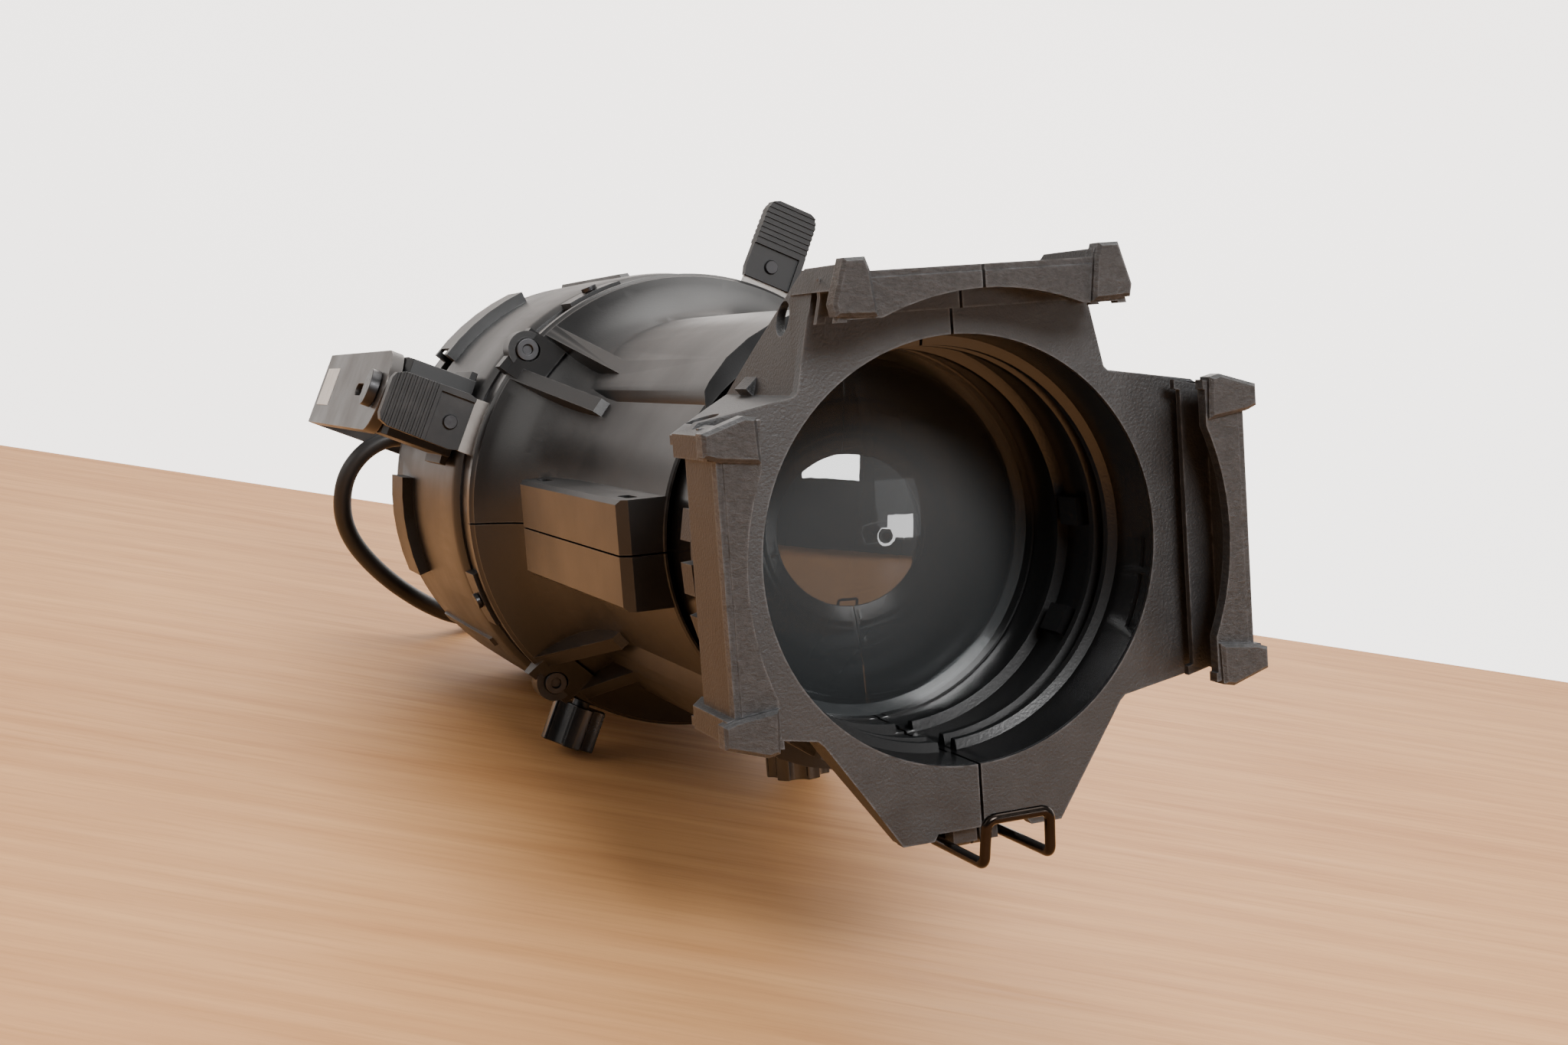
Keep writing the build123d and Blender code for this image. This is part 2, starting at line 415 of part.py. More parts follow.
# barrel lock knob
lk = cyl((LOCK_X, LOCK_Y, -105.2), (LOCK_X, LOCK_Y, -124.5), 12.4)
for i in range(4):
    t = math.radians(90 * i + 40)
    lk -= cyl((LOCK_X + 15.6 * math.cos(t), LOCK_Y + 15.6 * math.sin(t), -104), (LOCK_X + 15.6 * math.cos(t), LOCK_Y + 15.6 * math.sin(t), -128), 7.0)
lk -= cyl((LOCK_X, LOCK_Y, -104), (LOCK_X, LOCK_Y, -120), 4.0)
save("barrel_lock_knob", lk, rear=True)
save("barrel_lock_stud", cyl((LOCK_X, LOCK_Y, -98.4), (LOCK_X, LOCK_Y, -120), 4.0), rear=True)

# yoke brackets on the housing
for s, nm in ((-1, "left"), (1, "right")):
    br = prism_z([(s * 104.6, 306), (s * 112, 306), (s * 133.6, 309), (s * 135.9, 312), (s * 135.9, 338), (s * 133.6, 341), (s * 112, 350), (s * 104.6, 350)], -18, 18)
    br -= prism_z([(s * 100, 310), (s * 113, 310), (s * 131.6, 314), (s * 131.6, 336), (s * 113, 344), (s * 100, 344)], -15, 15)
    br += prism_y([(s * 104.3, -22), (s * 107.2, -22), (s * 108.6, 0), (s * 107.2, 22), (s * 104.3, 22)], 310, 346) & box(-140, 140, 300, 360, -22, 22)
    br -= rev([(0, 300), (HOUSING_R + 0.32, 300), (HOUSING_R + 0.32, 360), (0, 360)])
    br -= cyl((s * 100, PIVOT_Y, 0), (s * 150, PIVOT_Y, 0), 5.0)
    save(f"yoke_bracket_{nm}", br, rear=True)

# yoke
yo, yi = YOKE_IN + YOKE_T, YOKE_IN
h = YOKE_W / 2
strap = prism_z([(-yo, PIVOT_Y - 19), (-yo, YOKE_BACK + YOKE_T), (yo, YOKE_BACK + YOKE_T), (yo, PIVOT_Y - 19), (yi, PIVOT_Y - 19), (yi, YOKE_BACK), (-yi, YOKE_BACK), (-yi, PIVOT_Y - 19)], -h, h)
strap = fillet(strap.edges().filter_by(Axis.Z).group_by(Axis.Y)[-1], 9)
strap = fillet([e for e in strap.edges().filter_by(Axis.Z) if abs(e.center().Y - YOKE_BACK) < 0.1 and abs(abs(e.center().X) - yi) < 0.1], 4)
round_end = cyl((-150, PIVOT_Y, 0), (150, PIVOT_Y, 0), h) + box(-150, 150, PIVOT_Y, 560, -h, h)
strap = strap & round_end
strap -= cyl((-160, PIVOT_Y, 0), (160, PIVOT_Y, 0), 5.02)
strap -= cyl((0, YOKE_BACK - 5, 0), (0, YOKE_BACK + 12, 0), 6.5)
for sx in (1, -1):
    strap -= cyl((sx * 40, YOKE_BACK - 5, 0), (sx * 40, YOKE_BACK + 12, 0), 4.5)
    s2 = box(min(sx * 130, sx * 150), max(sx * 130, sx * 150), 366, 386, -3, 3)
    strap -= fillet(s2.edges().filter_by(Axis.X), 2.9)
save("yoke", strap, rear=True)
# pivot bolts, fixed in the brackets
for s, nm in ((-1, "left"), (1, "right")):
    bolt = cyl((s * 124, PIVOT_Y, 0), (s * 142.9, PIVOT_Y, 0), 4.98)
    bolt += cyl((s * 124, PIVOT_Y, 0), (s * 131.4, PIVOT_Y, 0), 8.0)
    if s < 0:
        bolt += cyl((s * 142.5, PIVOT_Y, 0), (s * 147.0, PIVOT_Y, 0), 8.5)
    else:
        bolt += cyl((s * 142, PIVOT_Y, 0), (s * 158, PIVOT_Y, 0), 4.0)
    save(f"yoke_pivot_bolt_{nm}", bolt, rear=True)
kn = cyl((143.4, PIVOT_Y, 0), (164, PIVOT_Y, 0), 17)
for i in range(6):
    t = math.radians(60 * i)
    kn -= cyl((142, PIVOT_Y + 19.5 * math.cos(t), 19.5 * math.sin(t)), (165, PIVOT_Y + 19.5 * math.cos(t), 19.5 * math.sin(t)), 6.0)
kn -= cyl((142, PIVOT_Y, 0), (160, PIVOT_Y, 0), 4.05)
save("yoke_lock_knob", kn, rear=True)
save("yoke_label", prism_x([(462, -9), (502, -9), (502, 11), (462, 11)], -yo - 0.35, -yo - 0.02), rear=True)

# strain relief on the cap
sr = cyl((38, STRAIN_Y, 0), (46.5, STRAIN_Y, 0), 5.35) + cyl((46.5, STRAIN_Y, 0), (49.5, STRAIN_Y, 0), 8.0)
sr += Plane(origin=(49.5, STRAIN_Y, 0), z_dir=(1, 0, 0)) * Cone(7.6, CORD_D / 2 + 0.7, STRAIN_L, align=(Align.CENTER, Align.CENTER, Align.MIN))
sr = about_y(STRAIN_A, sr)
save("strain_relief", sr, rear=True)

# ---------------------------------------------------------------- lead, coil, tie and plug
def to_table(x, y, z):
    v = TO_TABLE * Pos(x, y, z)
    return v.position


def floor_pt(x, y, h):
    """Point of the design frame's (x, y) at height h over the table, in the table frame."""
    v = to_table(x, y, REST_POINT[2] + REST_SLOPE_X * (x - REST_POINT[0]) + REST_SLOPE_Y * (y - REST_POINT[1]))
    return Vector(v.X, v.Y, h)


t = math.radians(STRAIN_A - REAR_ROLL)
r_end = 49.5 + STRAIN_L
exit_pt = to_table(r_end * math.cos(t), STRAIN_Y, r_end * math.sin(t))
CR = CORD_D / 2
C_COIL = floor_pt(*COIL_XY, CR)
route = [exit_pt, to_table((r_end + 22) * math.cos(t), STRAIN_Y, (r_end + 22) * math.sin(t))]
route += [to_table(*p) for p in LEAD_FREE]
a_in = math.radians(COIL_ENTRY)
entry = Vector(C_COIL.X + COIL_R * math.cos(a_in), C_COIL.Y + COIL_R * math.sin(a_in), COIL_Z0 + CR)
tan_in = Vector(math.sin(a_in), -math.cos(a_in), 0)
q2 = entry - tan_in * 38
q1 = (route[-1] + q2) * 0.5 + Vector(-1.5, 1.0, 0)
route += [Vector(q1.X, q1.Y, 6.3), q2, entry]
radii = []
for i in range(1, len(route) - 1):
    u, v = route[i] - route[i - 1], route[i + 1] - route[i]
    half = math.radians(u.get_angle(v)) / 2
    radii.append(0.45 * min(u.length, v.length) / math.tan(half))
print("lead radii", [round(r, 1) for r in radii])
print("lead runs", [round((route[i + 1] - route[i]).length, 1) for i in range(len(route) - 1)])
print("lead points m", [(round(p.X / 1000, 5), round(p.Y / 1000, 5), round(p.Z / 1000, 5)) for p in route])
lead_path = FilletPolyline(*route, radius=radii)


def save_table(name, shape):
    shape.label = name
    solids = shape.solids()
    assert len(solids) == 1, name
    solids[0].label = name
    export_step(solids[0], f"parts/{name}.step")


lead = sweep(Plane(origin=route[0], z_dir=route[1] - route[0]) * Circle(CR), path=lead_path)
print("lead volume", round(lead.volume), "section x length", round(math.pi * CR ** 2 * lead_path.length), "length", round(lead_path.length, 1))
save_table("lead", lead)
coil_h = CORD_D * COIL_TURNS + 0.4
coil = Pos(C_COIL.X, C_COIL.Y, COIL_Z0 + coil_h / 2) * (Cylinder(COIL_R + CR, coil_h) - Cylinder(COIL_R - CR, coil_h + 1))
# room for the straight ends of the lead where they join the bottom turn and leave the top turn
coil -= Plane(origin=(entry.X, entry.Y, 0), x_dir=tan_in * -1, z_dir=(0, 0, 1)) * Box(46, 2 * CR + 0.5, 2 * (COIL_Z0 + CORD_D + 0.2), align=(Align.MIN, Align.CENTER, Align.CENTER))
a_out = math.radians(COIL_EXIT)
tan_out = Vector(math.sin(a_out), -math.cos(a_out), 0)
z_top = COIL_Z0 + 1.5 * CORD_D + 0.35
out_pt = Vector(C_COIL.X + COIL_R * math.cos(a_out), C_COIL.Y + COIL_R * math.sin(a_out), z_top)
coil -= Plane(origin=out_pt, x_dir=tan_out, z_dir=(0, 0, 1)) * Box(46, 2 * CR + 0.5, 2 * CR + 0.4, align=(Align.MIN, Align.CENTER, Align.CENTER))
save_table("lead_coil", coil)
TAIL = 52.0
plug_at = out_pt + tan_out * TAIL
save_table("lead_tail", Plane(origin=out_pt, z_dir=tan_out) * Cylinder(CR, TAIL, align=(Align.CENTER, Align.CENTER, Align.MIN)))
# strap round the turns, on the far side
a_tie = math.radians(COIL_TIE)
tp = Plane(origin=(C_COIL.X + COIL_R * math.cos(a_tie), C_COIL.Y + COIL_R * math.sin(a_tie), COIL_Z0 + coil_h / 2), x_dir=(math.cos(a_tie), math.sin(a_tie), 0), z_dir=(-math.sin(a_tie), math.cos(a_tie), 0))
tie = tp * (Box(CORD_D + 4.0, coil_h + 1.8, 12) - Box(CORD_D + 2.0, coil_h + 0.1, 13))
save_table("lead_tie", tie)
# plug: tapered neck, round body, three pins
pl = Plane(origin=plug_at, z_dir=tan_out)
body = pl * Cone(6.2, 10.5, 16, align=(Align.CENTER, Align.CENTER, Align.MIN))
body += pl * Pos(0, 0, 16) * Cylinder(14.6, 40, align=(Align.CENTER, Align.CENTER, Align.MIN))
save_table("plug_body", body)
pins = [pl * Pos(dx, dy, 56) * Cylinder(2.4, 19, align=(Align.CENTER, Align.CENTER, Align.MIN)) for dx, dy in ((0, 7), (-6.5, -4), (6.5, -4))]
for k, p in enumerate(pins):
    save_table(f"plug_pin_{k + 1}", p)
print("coil centre m", (round(C_COIL.X / 1000, 5), round(C_COIL.Y / 1000, 5)), "entry", entry, "out", out_pt, "tan out", tan_out)
print("to table: origin", to_table(0, 0, 0), "x", to_table(1000, 0, 0), "y", to_table(0, 1000, 0), "z", to_table(0, 0, 1000))
print("built")
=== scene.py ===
"""Profile stage spotlight on a table: materials, lead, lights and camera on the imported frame."""
import json
import math

import bmesh
import bpy
from mathutils import Matrix, Vector


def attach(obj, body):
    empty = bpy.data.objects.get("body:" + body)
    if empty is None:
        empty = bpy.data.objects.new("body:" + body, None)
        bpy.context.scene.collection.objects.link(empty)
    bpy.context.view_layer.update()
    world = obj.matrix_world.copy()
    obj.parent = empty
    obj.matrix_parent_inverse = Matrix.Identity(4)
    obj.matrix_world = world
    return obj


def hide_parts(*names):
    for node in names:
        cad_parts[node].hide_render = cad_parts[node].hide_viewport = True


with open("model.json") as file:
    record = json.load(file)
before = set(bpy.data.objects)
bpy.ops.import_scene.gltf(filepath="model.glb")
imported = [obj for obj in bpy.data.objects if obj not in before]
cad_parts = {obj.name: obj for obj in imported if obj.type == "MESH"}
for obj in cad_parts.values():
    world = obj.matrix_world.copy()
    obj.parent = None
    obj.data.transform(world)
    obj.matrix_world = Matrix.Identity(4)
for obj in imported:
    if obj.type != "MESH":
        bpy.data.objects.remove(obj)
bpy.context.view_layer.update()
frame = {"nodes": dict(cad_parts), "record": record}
nodes = frame["nodes"]
record = frame["record"]
SLOT = {s["node"]: s["material_slot"] for s in record["subparts"]}
BODY = {n: b for b, ns in record["behaviour"]["bodies"].items() for n in ns}
scene = bpy.context.scene

# beam axis of the object in the row frame, and a point on it
AXIS = Vector((0.0, 0.991843, -0.127465))
ORIGIN = Vector((-0.009324, -0.241715, 0.159742))

# ---------------------------------------------------------------- camera
cam_data = bpy.data.cameras.new("camera")
cam_data.sensor_width = 36.0
cam_data.lens = 44.095
cam = bpy.data.objects.new("camera", cam_data)
scene.collection.objects.link(cam)
right = Vector((0.92951, -0.34549, 0.12905)).normalized()
fwd = Vector((0.36334, 0.91787, -0.15973)).normalized()
up = right.cross(fwd).normalized()
m = Matrix((right, up, -fwd)).transposed().to_4x4()
m.translation = Vector((-0.28567, -0.78053, 0.25884))
cam.matrix_world = m
scene.camera = cam


# ---------------------------------------------------------------- material helpers
class Nodes:
    def __init__(self, name):
        self.mat = bpy.data.materials.new(name)
        self.mat.use_nodes = True
        self.t = self.mat.node_tree
        self.t.nodes.clear()
        self.out = self.t.nodes.new("ShaderNodeOutputMaterial")
        self.p = self.t.nodes.new("ShaderNodeBsdfPrincipled")
        self.t.links.new(self.p.outputs[0], self.out.inputs["Surface"])
        self.coord = self.t.nodes.new("ShaderNodeTexCoord").outputs["Object"]

    def new(self, kind, **kw):
        n = self.t.nodes.new(kind)
        for k, v in kw.items():
            setattr(n, k, v)
        return n

    def link(self, a, b):
        self.t.links.new(a, b)

    def put(self, socket, value):
        if hasattr(value, "is_linked") or isinstance(value, bpy.types.NodeSocket):
            self.link(value, socket)
        else:
            socket.default_value = value

    def math(self, op, a, b=0.0, clamp=False):
        n = self.new("ShaderNodeMath", operation=op, use_clamp=clamp)
        self.put(n.inputs[0], a)
        self.put(n.inputs[1], b)
        return n.outputs[0]

    def vmath(self, op, a, b=(0, 0, 0)):
        n = self.new("ShaderNodeVectorMath", operation=op)
        self.put(n.inputs[0], a)
        self.put(n.inputs[1], b)
        return n.outputs["Value"] if op in ("DOT_PRODUCT", "LENGTH") else n.outputs["Vector"]

    def ramp(self, x, a, b, lo=0.0, hi=1.0):
        n = self.new("ShaderNodeMapRange", clamp=True)
        for i, v in enumerate((x, a, b, lo, hi)):
            self.put(n.inputs[i], v)
        return n.outputs[0]

    def noise(self, scale, detail=4.0, rough=0.55, stretch=None, vec=None):
        v = vec or self.coord
        if stretch:
            mp = self.new("ShaderNodeMapping")
            mp.inputs["Scale"].default_value = stretch
            self.link(v, mp.inputs["Vector"])
            v = mp.outputs[0]
        n = self.new("ShaderNodeTexNoise")
        n.inputs["Scale"].default_value = scale
        n.inputs["Detail"].default_value = detail
        n.inputs["Roughness"].default_value = rough
        self.link(v, n.inputs["Vector"])
        return n.outputs["Fac"]

    def mix(self, fac, a, b):
        n = self.new("ShaderNodeMix", data_type="RGBA")
        self.put(n.inputs["Factor"], fac)
        for s, v in ((n.inputs[6], a), (n.inputs[7], b)):
            self.put(s, v)
        return n.outputs[2]

    def fmix(self, fac, a, b):
        n = self.new("ShaderNodeMix", data_type="FLOAT")
        self.put(n.inputs["Factor"], fac)
        self.put(n.inputs[2], a)
        self.put(n.inputs[3], b)
        return n.outputs[0]

    def bump(self, height, strength, distance=0.0003, normal=None):
        n = self.new("ShaderNodeBump")
        n.inputs["Strength"].default_value = strength
        n.inputs["Distance"].default_value = distance
        self.link(height, n.inputs["Height"])
        if normal is not None:
            self.link(normal, n.inputs["Normal"])
        return n.outputs["Normal"]

    def edge(self, radius=0.0012, lo=0.02, hi=0.25):
        bv = self.new("ShaderNodeBevel", samples=4)
        bv.inputs["Radius"].default_value = radius
        g = self.new("ShaderNodeNewGeometry")
        d = self.vmath("DOT_PRODUCT", bv.outputs[0], g.outputs["Normal"])
        return self.ramp(self.math("SUBTRACT", 1.0, d), lo, hi)


def rgb(r, g, b):
    return (r, g, b, 1.0)


def cast_black(name="cast_black_paint", base=(0.0075, 0.0075, 0.008), rough=0.36, grain=0.25):
    n = Nodes(name)
    fine = n.noise(1400, 3)
    big = n.noise(22, 5)
    n.put(n.p.inputs["Base Color"], n.mix(n.ramp(big, 0.35, 0.7), rgb(*base), rgb(base[0] * 1.7, base[1] * 1.65, base[2] * 1.6)))
    e = n.math("MULTIPLY", n.edge(0.0010), n.ramp(n.noise(160, 4), 0.42, 0.62))
    n.put(n.p.inputs["Roughness"], n.fmix(n.ramp(big, 0.3, 0.75), rough - 0.05, rough + 0.08))
    col = n.mix(e, n.mix(n.ramp(big, 0.35, 0.7), rgb(*base), rgb(base[0] * 1.7, base[1] * 1.65, base[2] * 1.6)), rgb(0.06, 0.06, 0.062))
    n.put(n.p.inputs["Base Color"], col)
    n.put(n.p.inputs["Metallic"], 0.0)
    n.put(n.p.inputs["Specular IOR Level"], 0.5)
    n.put(n.p.inputs["Normal"], n.bump(fine, grain, 0.00012))
    return n.mat


def cast_grey():
    """Pebbled casting in front, scraped on its lips and tabs, smooth and glossy inside the tube, where painted
    shade also darkens the colour to near black.
    """
    n = Nodes("cast_grey_holder")
    rel = n.vmath("SUBTRACT", n.coord, tuple(ORIGIN))
    v = n.vmath("DOT_PRODUCT", rel, tuple(AXIS))
    radial = n.vmath("LENGTH", n.vmath("CROSS_PRODUCT", rel, tuple(AXIS)))
    # mask of the tube's inner bore: drives its real smoother, glossier finish and a painted shade that darkens
    # its colour
    inner_bore_shade_and_gloss = n.math("MULTIPLY", n.ramp(radial, 0.0708, 0.0702), n.ramp(v, 0.0008, 0.0016))
    lip = n.ramp(v, -0.0192, -0.0204)
    pebble = n.noise(1050, 3, 0.6)
    scrape = n.noise(520, 7, 0.72, stretch=(1.0, 0.5, 1.9))
    chips = n.noise(95, 5, 0.62)
    e = n.math("MULTIPLY", n.edge(0.0013, 0.02, 0.2), n.ramp(n.noise(210, 4), 0.36, 0.6))
    base = n.mix(n.ramp(chips, 0.35, 0.68), rgb(0.0125, 0.0127, 0.0138), rgb(0.0205, 0.0208, 0.0222))
    worn = n.mix(n.ramp(scrape, 0.42, 0.66), rgb(0.0125, 0.0127, 0.0138), rgb(0.034, 0.0345, 0.0365))
    col = n.mix(lip, base, worn)
    col = n.mix(e, col, rgb(0.10, 0.102, 0.107))
    # painted shade: the inside of the tube is darkened to near black
    col = n.mix(inner_bore_shade_and_gloss, col, rgb(0.0045, 0.0045, 0.0048))
    n.put(n.p.inputs["Base Color"], col)
    n.put(n.p.inputs["Roughness"], n.fmix(inner_bore_shade_and_gloss, n.fmix(lip, 0.52, n.ramp(scrape, 0.3, 0.7, 0.55, 0.36)), 0.24))
    n.put(n.p.inputs["Specular IOR Level"], 0.6)
    h = n.fmix(lip, n.math("MULTIPLY", pebble, 0.8), n.math("ADD", n.math("MULTIPLY", scrape, 2.2), n.math("MULTIPLY", pebble, 0.5)))
    h = n.fmix(inner_bore_shade_and_gloss, h, n.math("MULTIPLY", pebble, 0.12))
    n.put(n.p.inputs["Normal"], n.bump(h, 0.75, 0.00042))
    return n.mat


def metal(name, base, rough, metallic=0.9, brush=None, bump=0.1):
    n = Nodes(name)
    s = n.noise(500, 4, 0.6, stretch=brush)
    big = n.noise(40, 5)
    n.put(n.p.inputs["Base Color"], n.mix(n.ramp(big, 0.3, 0.72), rgb(*base), rgb(base[0] * 0.62, base[1] * 0.6, base[2] * 0.58)))
    n.put(n.p.inputs["Metallic"], metallic)
    n.put(n.p.inputs["Roughness"], n.ramp(s, 0.25, 0.75, rough - 0.06, rough + 0.12))
    n.put(n.p.inputs["Normal"], n.bump(s, bump, 0.00012))
    return n.mat


def plastic(name, base, rough, coat=0.0, bump=0.08, scuff=0.25):
    n = Nodes(name)
    s = n.noise(700, 4)
    big = n.noise(60, 6, 0.65)
    fac = n.math("MULTIPLY", n.ramp(big, 0.52, 0.7), scuff)
    n.put(n.p.inputs["Base Color"], n.mix(fac, rgb(*base), rgb(base[0] * 3 + 0.03, base[1] * 3 + 0.03, base[2] * 3 + 0.03)))
    n.put(n.p.inputs["Roughness"], n.ramp(big, 0.3, 0.7, rough - 0.04, rough + 0.12))
    n.put(n.p.inputs["Coat Weight"], coat)
    n.put(n.p.inputs["Normal"], n.bump(s, bump, 0.0001))
    return n.mat


def yoke_paint():
    n = Nodes("yoke_grey_brown_paint")
    big = n.noise(30, 5)
    fine = n.noise(1500, 3)
    scr = n.noise(120, 6, 0.7, stretch=(1, 0.25, 1))
    e = n.math("MULTIPLY", n.edge(0.0012), n.ramp(n.noise(180, 4), 0.35, 0.6))
    col = n.mix(n.ramp(big, 0.3, 0.7), rgb(0.036, 0.032, 0.030), rgb(0.052, 0.047, 0.044))
    col = n.mix(n.math("MULTIPLY", n.ramp(scr, 0.62, 0.7), 0.35), col, rgb(0.09, 0.082, 0.077))
    col = n.mix(e, col, rgb(0.22, 0.2, 0.185))
    n.put(n.p.inputs["Base Color"], col)
    n.put(n.p.inputs["Metallic"], 0.35)
    n.put(n.p.inputs["Roughness"], n.ramp(big, 0.3, 0.7, 0.33, 0.46))
    n.put(n.p.inputs["Normal"], n.bump(fine, 0.15, 0.0001))
    return n.mat


def lens():
    n = Nodes("lens_glass_dark")
    n.put(n.p.inputs["Base Color"], rgb(0.11, 0.118, 0.122))
    n.put(n.p.inputs["Roughness"], n.ramp(n.noise(30, 6, 0.6), 0.45, 0.75, 0.0, 0.035))
    n.put(n.p.inputs["Transmission Weight"], 0.6)
    n.put(n.p.inputs["IOR"], 1.5)
    n.put(n.p.inputs["Coat Weight"], 0.6)
    n.put(n.p.inputs["Coat Roughness"], 0.01)
    return n.mat


def mirror():
    n = Nodes("reflector_dichroic")
    n.put(n.p.inputs["Base Color"], n.mix(n.ramp(n.noise(14, 3), 0.35, 0.65), rgb(0.62, 0.44, 0.24), rgb(0.5, 0.5, 0.42)))
    n.put(n.p.inputs["Metallic"], 1.0)
    n.put(n.p.inputs["Roughness"], 0.22)
    n.put(n.p.inputs["Normal"], n.bump(n.noise(180, 2), 0.2, 0.0006))
    return n.mat


def rubber(name, base, rough):
    n = Nodes(name)
    s = n.noise(900, 3)
    big = n.noise(35, 5)
    n.put(n.p.inputs["Base Color"], n.mix(n.ramp(big, 0.35, 0.7), rgb(*base), rgb(base[0] * 2, base[1] * 2, base[2] * 2)))
    n.put(n.p.inputs["Roughness"], n.ramp(big, 0.3, 0.7, rough - 0.06, rough + 0.08))
    n.put(n.p.inputs["Normal"], n.bump(s, 0.12, 0.0001))
    return n.mat


def weave():
    n = Nodes("tie_woven_nylon")
    w = n.new("ShaderNodeTexWave", wave_type="BANDS", bands_direction="Z")
    w.inputs["Scale"].default_value = 500
    n.link(n.coord, w.inputs["Vector"])
    n.put(n.p.inputs["Base Color"], n.mix(w.outputs["Fac"], rgb(0.012, 0.012, 0.013), rgb(0.04, 0.04, 0.042)))
    n.put(n.p.inputs["Roughness"], 0.85)
    n.put(n.p.inputs["Normal"], n.bump(w.outputs["Fac"], 0.5, 0.0003))
    return n.mat


def label():
    n = Nodes("label_paper_white")
    n.put(n.p.inputs["Base Color"], n.mix(n.ramp(n.noise(90, 5), 0.4, 0.75), rgb(0.82, 0.82, 0.8), rgb(0.66, 0.65, 0.62)))
    n.put(n.p.inputs["Roughness"], 0.42)
    n.put(n.p.inputs["Normal"], n.bump(n.noise(250, 3), 0.1, 0.0002))
    return n.mat


MATS = {
    "cast_black": cast_black(),
    "cast_grey": cast_grey(),
    "steel_black": cast_black("steel_black_paint", (0.006, 0.006, 0.0066), 0.42, 0.12),
    "yoke_grey": yoke_paint(),
    "bright_steel": metal("shutter_steel_heat_stained", (0.42, 0.40, 0.38), 0.36, 0.9, (1, 1, 12)),
    "dark_steel": metal("blackened_steel", (0.07, 0.07, 0.074), 0.34, 0.85),
    "wire_bronze": metal("clip_wire_bronze", (0.030, 0.023, 0.019), 0.16, 0.9, None, 0.05),
    "grip_plastic": plastic("grip_black_nylon", (0.010, 0.010, 0.0108), 0.42, 0.0, 0.15, 0.35),
    "knob_plastic": plastic("knob_gloss_black", (0.008, 0.008, 0.009), 0.2, 0.35, 0.05, 0.12),
    "lens_glass": lens(),
    "reflector_mirror": mirror(),
    "label_white": label(),
    "lead_rubber": rubber("lead_black_rubber", (0.012, 0.012, 0.0125), 0.42),
    "tie_fabric": weave(),
    "plug_plastic": plastic("plug_black_rubber", (0.014, 0.014, 0.015), 0.5, 0.0, 0.2, 0.2),
    "pin_brass": metal("pin_brass", (0.62, 0.42, 0.16), 0.24, 1.0),
}


# ---------------------------------------------------------------- pieces: every CAD node but the lead, edges rounded where a bevel width is set
def dress(node, width=0.0004, angle=34.0, segs=2):
    me = nodes[node].data.copy()
    ob = bpy.data.objects.new("look_" + node, me)
    scene.collection.objects.link(ob)
    bm = bmesh.new()
    bm.from_mesh(me)
    bmesh.ops.remove_doubles(bm, verts=bm.verts, dist=2e-6)
    bmesh.ops.dissolve_limit(bm, angle_limit=math.radians(0.6), verts=bm.verts, edges=bm.edges)
    for e in bm.edges:
        e.smooth = not (len(e.link_faces) == 2 and e.calc_face_angle(0.0) > math.radians(angle))
    for f in bm.faces:
        f.smooth = True
    bm.to_mesh(me)
    bm.free()
    me.materials.clear()
    me.materials.append(MATS[SLOT[node]])
    if width > 0:
        b = ob.modifiers.new("edges", "BEVEL")
        b.width = width
        b.segments = segs
        b.limit_method = "ANGLE"
        b.angle_limit = math.radians(angle)
        b.use_clamp_overlap = True
        b.harden_normals = True
        b.miter_outer = "MITER_ARC"
    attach(ob, BODY[node])
    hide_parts(node)
    return ob


WIDTH = {"front_lens": 0.0, "lamp": 0.0, "retaining_clip": 0.0, "reflector": 0.0, "yoke_label": 0.0,
         "tube_half_left": 0.0005, "tube_half_right": 0.0005, "barrel_upper": 0.0007, "barrel_lower": 0.0007, "yoke": 0.0007, "reflector_housing": 0.0005,
         "lead_tie": 0.0003, "barrel_lock_knob": 0.0012, "yoke_lock_knob": 0.0012, "focus_knob": 0.001, "plug_body": 0.001}
LEAD = ("lead", "lead_coil", "lead_tail")
for name in sorted(nodes):
    if name not in LEAD:
        dress(name, WIDTH.get(name, 0.0003 if name.startswith("shutter") or "screw" in name else 0.0004))

# ---------------------------------------------------------------- the lead
ROUTE = [(-0.08161, 0.24856, 0.11015), (-0.10325, 0.24907, 0.1141), (-0.12232, 0.25004, 0.10514), (-0.13347, 0.25026, 0.08573), (-0.13032, 0.25015, 0.05898),
         (-0.10887, 0.25313, 0.03587), (-0.07886, 0.25937, 0.01696), (-0.05065, 0.27792, 0.00598), (-0.03211, 0.30886, 0.0063), (-0.01057, 0.3378, 0.00575)]
CX, CY, CR = 0.05347, 0.34471, 0.0530
LOW, HIGH = 0.00575, 0.0156
turns = []
step = 22.5
for i in range(1, 31):
    rot = step * i
    if rot > 690 - 6:
        break
    a = math.radians(150.0 - rot)
    rise = min(1.0, max(0.0, (rot - 270.0) / 78.0))
    rise = rise * rise * (3 - 2 * rise)
    turns.append((CX + CR * math.cos(a), CY + CR * math.sin(a), LOW + (HIGH - LOW) * rise))
points = ROUTE + [(0.0079, 0.3698, 0.00575)] + turns + [(0.00147, 0.3520, 0.0156), (0.00147, 0.3740, 0.0156), (0.00147, 0.39671, 0.0156)]
cu = bpy.data.curves.new("lead_line", "CURVE")
cu.dimensions = "3D"
cu.resolution_u = 12
cu.bevel_depth = 0.00475
cu.bevel_resolution = 6
cu.use_fill_caps = True
sp = cu.splines.new("NURBS")
sp.points.add(len(points) - 1)
for p, co in zip(sp.points, points):
    p.co = (*co, 1.0)
sp.order_u = 3
sp.use_endpoint_u = True
lead = bpy.data.objects.new("mains_lead", cu)
scene.collection.objects.link(lead)
cu.materials.append(MATS["lead_rubber"])
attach(lead, "root")
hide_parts(*LEAD)

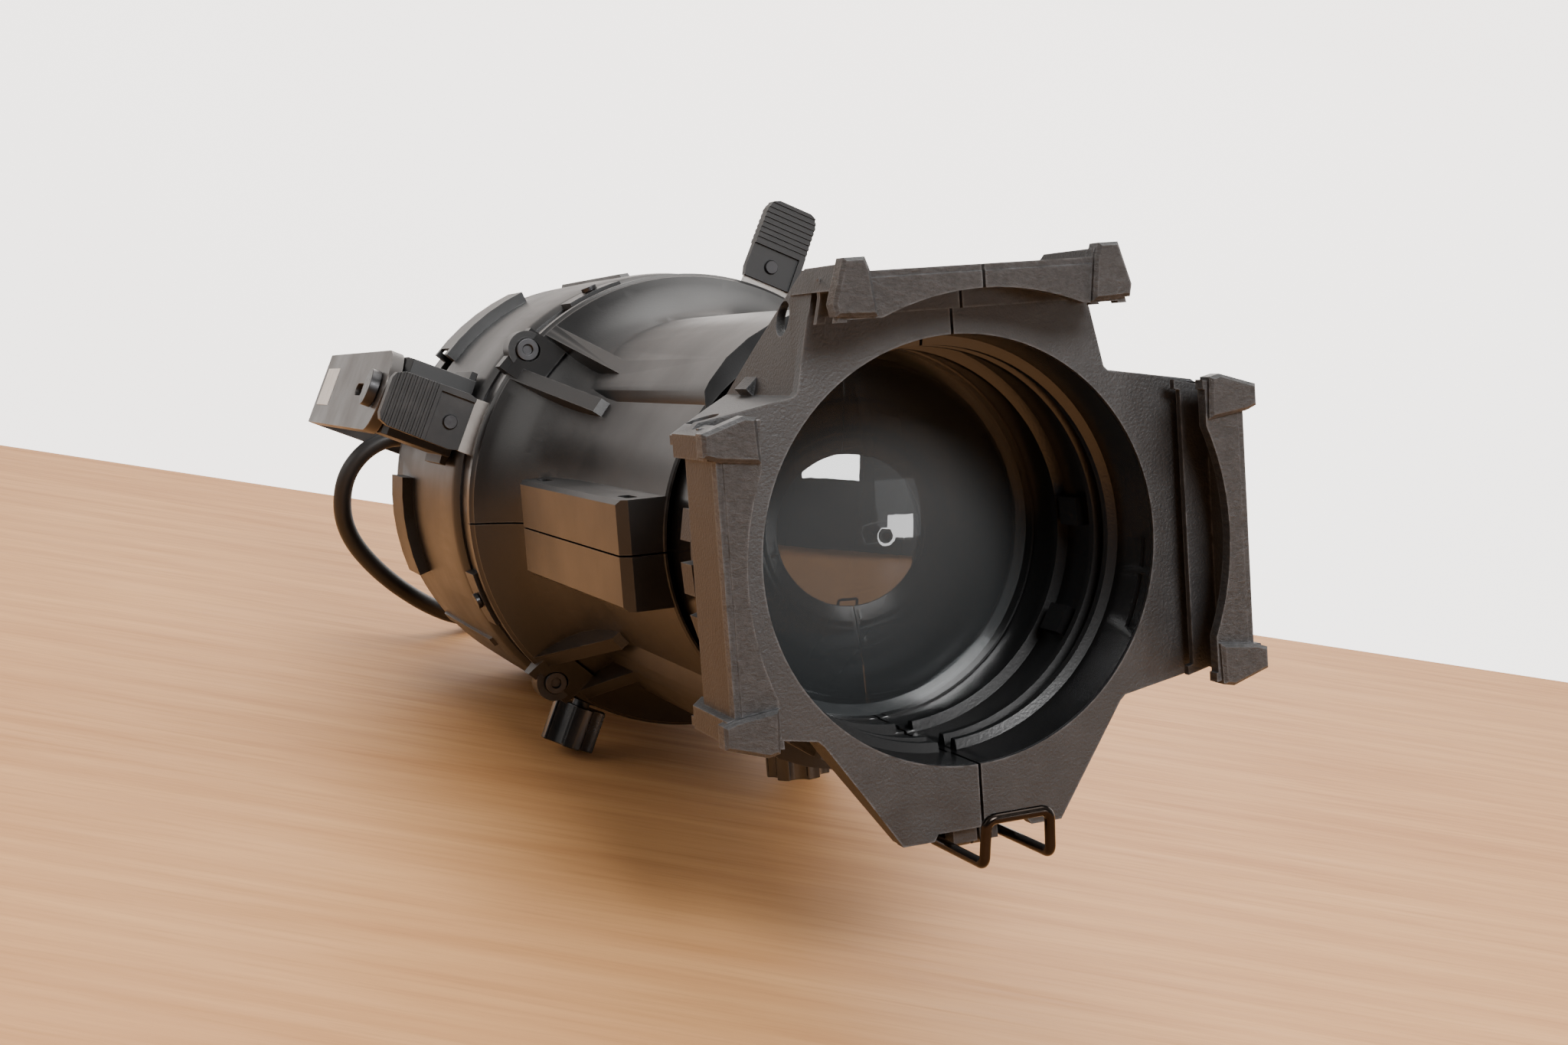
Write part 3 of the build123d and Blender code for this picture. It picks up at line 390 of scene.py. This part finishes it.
# ---------------------------------------------------------------- table and wall
floor_me = bpy.data.meshes.new("table_top")
floor_me.from_pydata([(-1.99, 1.695, 0), (2.37, -0.59, 0), (0.6, -4.0, 0), (-3.8, -1.6, 0), (-1.99, 1.695, -0.04), (2.37, -0.59, -0.04)], [], [(0, 3, 2, 1), (0, 1, 5, 4)])
floor = bpy.data.objects.new("table_top", floor_me)
scene.collection.objects.link(floor)
n = Nodes("table_wood")
ang = math.atan2(-0.464, 0.886)
mp = n.new("ShaderNodeMapping")
mp.inputs["Rotation"].default_value = (0, 0, -ang)
n.link(n.coord, mp.inputs["Vector"])
g1 = n.noise(26, 8, 0.6, stretch=(0.18, 2.6, 1), vec=mp.outputs[0])
g2 = n.noise(150, 6, 0.7, stretch=(0.08, 2.2, 1), vec=mp.outputs[0])
g3 = n.noise(2.2, 4, 0.5, vec=mp.outputs[0])
col = n.mix(n.ramp(g1, 0.3, 0.72), rgb(0.52, 0.235, 0.088), rgb(0.72, 0.375, 0.158))
col = n.mix(n.math("MULTIPLY", n.ramp(g2, 0.5, 0.78), 0.4), col, rgb(0.29, 0.12, 0.043))
col = n.mix(n.math("MULTIPLY", n.ramp(g3, 0.35, 0.7), 0.25), col, rgb(0.80, 0.46, 0.21))
n.put(n.p.inputs["Base Color"], col)
n.put(n.p.inputs["Roughness"], n.ramp(g2, 0.3, 0.7, 0.45, 0.62))
n.put(n.p.inputs["Specular IOR Level"], 0.2)
n.put(n.p.inputs["Normal"], n.bump(g2, 0.25, 0.0006))
floor_me.materials.append(n.mat)

wall_me = bpy.data.meshes.new("wall")
d = Vector((0.886, -0.464, 0))
q = Vector((0.464, 0.886, 0))
mid = Vector((0.238, 0.532, 0)) + q * 1.6
wall_me.from_pydata([tuple(mid - d * 7 + Vector((0, 0, -1.5))), tuple(mid + d * 7 + Vector((0, 0, -1.5))), tuple(mid + d * 7 + Vector((0, 0, 4))), tuple(mid - d * 7 + Vector((0, 0, 4)))], [], [(0, 1, 2, 3)])
wall = bpy.data.objects.new("wall", wall_me)
scene.collection.objects.link(wall)
n = Nodes("wall_white")
c = n.mix(n.ramp(n.noise(0.7, 2), 0.3, 0.75), rgb(0.96, 0.93, 0.9), rgb(0.93, 0.87, 0.83))
n.put(n.p.inputs["Base Color"], c)
n.put(n.p.inputs["Roughness"], 0.9)
n.put(n.p.inputs["Emission Color"], c)
seen = n.new("ShaderNodeLightPath").outputs["Is Camera Ray"]
n.put(n.p.inputs["Emission Strength"], n.ramp(seen, 0.0, 1.0, 1.0, 3.4))
wall_me.materials.append(n.mat)


# ---------------------------------------------------------------- lights
def area(name, at, to, size, power, color=(1, 1, 1), spread=None):
    li = bpy.data.lights.new(name, "AREA")
    li.shape = "RECTANGLE"
    li.size, li.size_y = size
    li.energy = power
    li.color = color
    if spread:
        li.spread = math.radians(spread)
    ob = bpy.data.objects.new(name, li)
    scene.collection.objects.link(ob)
    ob.location = at
    ob.rotation_euler = (Vector(to) - Vector(at)).to_track_quat("-Z", "Y").to_euler()
    return ob


area("softbox_key", (-0.058, -1.474, 1.104), (0, -0.1, 0.12), (0.72, 0.46), 30)
area("softbox_low", (0.95, -1.75, 0.42), (0, -0.2, 0.12), (0.42, 0.30), 4.5)
area("overhead", (0.25, 0.35, 1.75), (0, 0.05, 0.1), (1.7, 1.2), 26, (1.0, 0.985, 0.96))
area("left_window", (-1.6, 0.1, 0.95), (0, 0.1, 0.1), (1.2, 1.0), 7, (1.0, 0.97, 0.93))
area("back_wash", (0.9, 1.7, 1.1), (0, 0.2, 0.1), (1.4, 0.9), 12, (1.0, 0.96, 0.92))

world = bpy.data.worlds.new("world")
scene.world = world
world.use_nodes = True
wt = world.node_tree
bg = wt.nodes["Background"]
bg.inputs[0].default_value = (1.0, 0.965, 0.93, 1)
wc = wt.nodes.new("ShaderNodeTexCoord")
dot = wt.nodes.new("ShaderNodeVectorMath")
dot.operation = "DOT_PRODUCT"
wt.links.new(wc.outputs["Generated"], dot.inputs[0])
dot.inputs[1].default_value = (0.35, 0.86, 0.37)
mr = wt.nodes.new("ShaderNodeMapRange")
for k, v in ((1, -0.7), (2, 0.75), (3, 0.07), (4, 0.85)):
    mr.inputs[k].default_value = v
wt.links.new(dot.outputs["Value"], mr.inputs[0])
wt.links.new(mr.outputs[0], bg.inputs[1])
